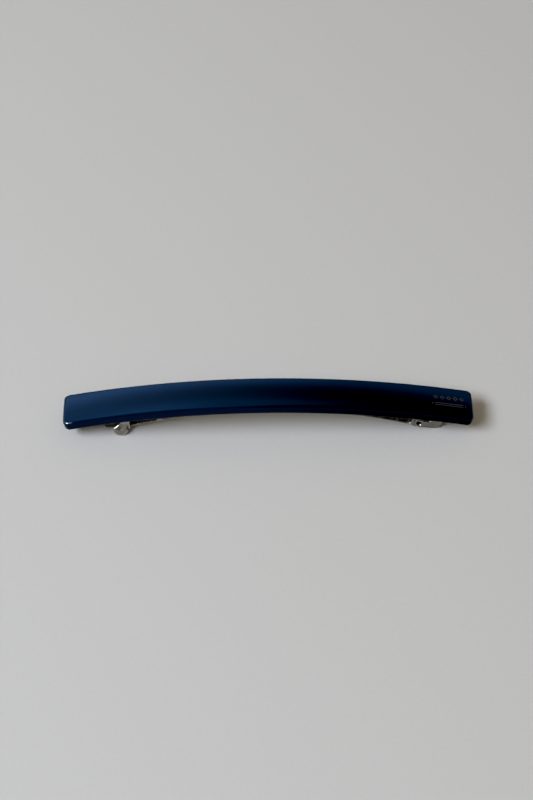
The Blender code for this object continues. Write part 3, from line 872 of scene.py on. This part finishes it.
def make_latch_plate(sprung):
    """The latch's riveted plate, with a small tab beside each wing where the wing flexes."""
    ledge = 0.3 * MM
    left, right = LATCH_PLATE
    lower = [
        (left, -LATCH_HALF_WIDTH, 1.0 * MM),
        (FULCRUM_ALONG - ledge, -LATCH_HALF_WIDTH, 0.1 * MM),
        (FULCRUM_ALONG - ledge, -FULCRUM_REACH, 0.1 * MM),
        (FULCRUM_ALONG + ledge, -FULCRUM_REACH, 0.1 * MM),
        (FULCRUM_ALONG + ledge, -LATCH_HALF_WIDTH, 0.1 * MM),
        (right, -LATCH_HALF_WIDTH, 1.0 * MM),
    ]
    hole = circle((LATCH_RIVET_ALONG, 0.0), RIVET_RADIUS + CLEARANCE)
    solid = plate([both_sides(lower), hole], LATCH_THICKNESS, edge=0.08 * MM)
    slice_across(solid, 0, spread(left, right, STRIP_SLICE))
    middle = LATCH_TOP - LATCH_THICKNESS / 2
    reshape(solid, lambda x, y, z: on_arch(x, y, middle + z))
    add_piece("latch_strip", solid, sprung, "barrette_body", ["latch_plate"])


def make_tooth(side):
    """The wing's tooth: a narrow leg straight down, bent in under the arm's edge."""
    bend = 0.3 * MM
    width, thickness = TOOTH[1] - TOOTH[0], 0.3 * MM
    drop = WING_TOP - WALL_HEIGHT - TOOTH_MIDDLE - bend
    path = BentPath(
        (WING_MIDDLE, WING_TOP - WALL_HEIGHT),
        math.radians(-90.0),
        [
            (drop, 0.0),
            (bend * math.pi / 2, -math.pi / 2),
            (WING_MIDDLE - bend - TOOTH_REACH, 0.0),
        ],
    )
    outline = rounded(
        [
            (0.0, 0.0, 0.0),
            (path.length, 0.0, 0.1 * MM),
            (path.length, width, 0.1 * MM),
            (0.0, width, 0.0),
        ]
    )
    solid = plate([outline], thickness, edge=0.06 * MM)
    slice_across(solid, 0, path.stations(1.0 * MM, math.radians(15.0)))

    def bend_in(x, y, z):
        place = path.at(x, z)
        return on_arch(TOOTH[0] + y, side * place.x, place.y)

    reshape(solid, bend_in)
    return solid


def make_wing(name, side, sprung):
    """A latch wing: an upright wall, a flared lobe with a hole and curled edges, and its tooth."""
    shoulder = (LOBE[0] - 1.85 * MM, LOBE[1] - 0.45 * MM, 0.8 * MM)
    notch = (LOBE[0] + 1.5 * MM, LOBE[1] - 0.3 * MM, 0.15 * MM)
    corners = [(WALL[0], 0.0, 0.0), (WALL[0], 1.37 * MM, 0.3 * MM), shoulder]
    corners += [(x, y, 0.0) for x, y in arc(LOBE, LOBE_RADIUS, 165.0, 20.0, 32)]
    corners += [notch, (WALL[1] - 0.35 * MM, 2.15 * MM, 0.2 * MM)]
    corners += [(WALL[1], 1.7 * MM, 0.2 * MM), (WALL[1], 0.0, 0.0)]
    loops = [rounded(corners), circle(LOBE_HOLE_PLACE, LOBE_HOLE)]
    solid = plate(loops, LATCH_THICKNESS, edge=0.1 * MM)
    fold = BentPath(
        (WING_MIDDLE, WING_TOP),
        math.radians(-90.0),
        [(WALL_HEIGHT, 0.0), (FLARE_BEND, FLARE_ANGLE), (2 * LOBE_RADIUS, 0.0)],
    )
    slice_across(solid, 1, fold.stations(WING_SLICE, math.radians(3.0)))
    slice_across(solid, 0, spread(LOBE[0] - LOBE_RADIUS, WALL[1], WING_SLICE))

    def curl_and_fold(x, y, z):
        off = Vector((x, y)) - Vector(LOBE)
        past_shoulder = max(SHOULDER_LINE - off.dot(SHOULDER_NORMAL), 0.0)
        past_lobe = max(off.length - CURL_START, 0.0)
        left = clamp((WALL[0] - x) / (0.3 * MM))
        lower = clamp(off.y / LOBE_RADIUS)
        curl = left * min(past_shoulder, SHOULDER_WIDTH) ** 2 / MM
        curl += lower * past_lobe**2 / CURL_RADIUS
        place = fold.at(y, z - curl)
        return on_arch(x, side * place.x, place.y)

    reshape(solid, curl_and_fold)
    trim_below(solid, 0.0)
    join(solid, make_tooth(side))
    body = f"wing_{name}"
    add_piece(f"{body}_sheet", solid, sprung, body, [f"latch_wing_{name}"])


def make_clasp():
    """Everything under the bar, in nickel plate, sprung steel and brass."""
    nickel = make_metal(
        "nickel_plate",
        bright=(0.27, 0.255, 0.215),
        dull=(0.215, 0.2, 0.17),
        rough=(0.2, 0.3),
        grain=2400.0,
    )
    sprung = make_metal(
        "sprung_steel",
        bright=(0.39, 0.37, 0.325),
        dull=(0.31, 0.29, 0.25),
        rough=(0.14, 0.24),
        grain=1800.0,
    )
    brass = make_metal(
        "rivet_brass",
        bright=(0.62, 0.52, 0.34),
        dull=(0.45, 0.36, 0.22),
        rough=(0.25, 0.4),
        grain=1500.0,
    )
    make_base(nickel)
    make_pin(nickel)
    make_arm(nickel)
    make_spring(sprung)
    make_latch_plate(sprung)
    for name, side in (("front", -1), ("rear", 1)):
        make_wing(name, side, sprung)
    seat = BASE_BOTTOM - CLEARANCE
    for side, along in zip(("left", "right"), RIVETS_ALONG, strict=True):
        make_rivet(f"mount_rivet_{side}", along, RIVET_TOP, seat, RIVET_HEAD, brass)
    seat = LATCH_TOP - LATCH_THICKNESS - CLEARANCE
    make_rivet("latch_rivet", LATCH_RIVET_ALONG, LATCH_RIVET_TOP, seat, LATCH_RIVET_HEAD, brass)


# Stage


def make_floor():
    """A plain floor at height zero."""
    mesh = bpy.data.meshes.new("floor")
    solid = bmesh.new()
    bmesh.ops.create_grid(solid, x_segments=1, y_segments=1, size=2.0)
    solid.to_mesh(mesh)
    solid.free()
    mesh.materials.append(make_floor_material())
    floor = bpy.data.objects.new("floor", mesh)
    bpy.context.scene.collection.objects.link(floor)


def make_light(name, direction, size, power, colour, lights_up, mirrored):
    """An oval soft light aimed at the origin, which lights surfaces up, shows in reflections, or both."""
    light = bpy.data.lights.new(name, "AREA")
    light.shape = "ELLIPSE"
    light.size, light.size_y = size
    light.energy = power
    light.color = colour
    lamp = bpy.data.objects.new(name, light)
    towards = Vector(direction).normalized()
    lamp.location = towards * LIGHT_DISTANCE
    lamp.rotation_euler = towards.to_track_quat("Z", "Y").to_euler()
    lamp.visible_diffuse = lights_up
    lamp.visible_glossy = mirrored
    bpy.context.scene.collection.objects.link(lamp)


def glow(tree, colour, strength):
    """A background of one colour, whose strength is a socket or a value."""
    links = {"Color": (*colour, 1.0), "Strength": strength}
    return node(tree, "Background", links).outputs[0]


def make_world():
    """A warm even fill, a pale backdrop, and for reflections a room with its window on the left.

    In the room, x, y and z are a direction's parts, and turn is its bearing in degrees left of +Y.
    """
    world = bpy.data.worlds.new("studio")
    world.use_nodes = True
    bpy.context.scene.world = world
    tree = world.node_tree
    tree.nodes.clear()
    direction = node(tree, "TexCoord").outputs["Generated"]
    x, y, z = node(tree, "SeparateXYZ", {0: direction}).outputs
    bearing = maths(tree, "ARCTAN2", product(tree, x, -1.0), y)
    turn = maths(tree, "DIVIDE", bearing, math.radians(1.0))

    # The window fades to the right, where a faint sheen stays above it.
    pane = product(
        tree,
        maths(tree, "POWER", remap(tree, turn, -25.0, 38.0), 1.6),
        remap(tree, z, 0.76, 0.84, 0.75, 1.1),
    )
    sheen = product(
        tree,
        remap(tree, turn, -32.0, -8.0),
        remap(tree, turn, 12.0, 2.0, 0.0, 0.17),
        remap(tree, z, 0.8, 0.86),
    )
    window = product(
        tree,
        maths(tree, "ADD", pane, sheen),
        remap(tree, y, -0.15, 0.35),
        remap(tree, z, 0.35, 0.55),
    )

    # A band of light low behind the bar, and a dim glow low in front on the left
    horizon = product(
        tree,
        remap(tree, z, 0.71, 0.5),
        remap(tree, y, 0.0, 0.3),
        remap(tree, z, 0.35, 0.5),
        remap(tree, turn, -16.0, 4.0, 0.35, 0.8),
    )
    front = product(
        tree,
        remap(tree, z, 0.0, 0.2),
        remap(tree, y, 0.3, -0.1),
        remap(tree, x, -0.08, 0.04, 0.2, 0.0),
    )

    reflected = glow(tree, WINDOW_COLOUR, window)
    for colour, strength in ((HORIZON_COLOUR, horizon), (FRONT_COLOUR, front)):
        reflected = node(tree, "AddShader", {0: reflected, 1: glow(tree, colour, strength)}).outputs[0]

    paths = node(tree, "LightPath").outputs
    fill = glow(tree, FILL_COLOUR, FILL_STRENGTH)
    pale = glow(tree, BACKDROP_COLOUR, 1.0)
    lit = node(tree, "MixShader", {0: paths["Is Glossy Ray"], 1: fill, 2: reflected}).outputs[0]
    seen = node(tree, "MixShader", {0: paths["Is Camera Ray"], 1: lit, 2: pale}).outputs[0]
    node(tree, "OutputWorld", {"Surface": seen})


def make_camera():
    """A long lens in front of the bar, looking down at it."""
    back = Vector(
        (
            math.sin(CAMERA_AZIMUTH) * math.cos(CAMERA_ELEVATION),
            -math.cos(CAMERA_AZIMUTH) * math.cos(CAMERA_ELEVATION),
            math.sin(CAMERA_ELEVATION),
        )
    )
    lens = bpy.data.cameras.new("camera")
    lens.lens = LENS
    lens.clip_start = 0.01
    camera = bpy.data.objects.new("camera", lens)
    camera.location = LOOK_AT + back * CAMERA_DISTANCE
    camera.rotation_euler = back.to_track_quat("Z", "Y").to_euler()
    bpy.context.scene.collection.objects.link(camera)
    bpy.context.scene.camera = camera


def set_tones():
    """Plain colours with a slightly crushed black."""
    view = bpy.context.scene.view_settings
    view.view_transform = "Standard"
    view.use_curve_mapping = True
    view.curve_mapping.black_level = (BLACK_LEVEL, BLACK_LEVEL, BLACK_LEVEL)
    view.curve_mapping.update()


make_camera()
make_floor()
make_light("key", KEY_DIRECTION, KEY_SIZE, KEY_POWER, KEY_COLOUR, lights_up=True, mirrored=False)
make_light("glint", GLINT_DIRECTION, GLINT_SIZE, GLINT_POWER, GLINT_COLOUR, lights_up=False, mirrored=True)
make_world()
set_tones()
make_bar()
make_ornament()
make_clasp()
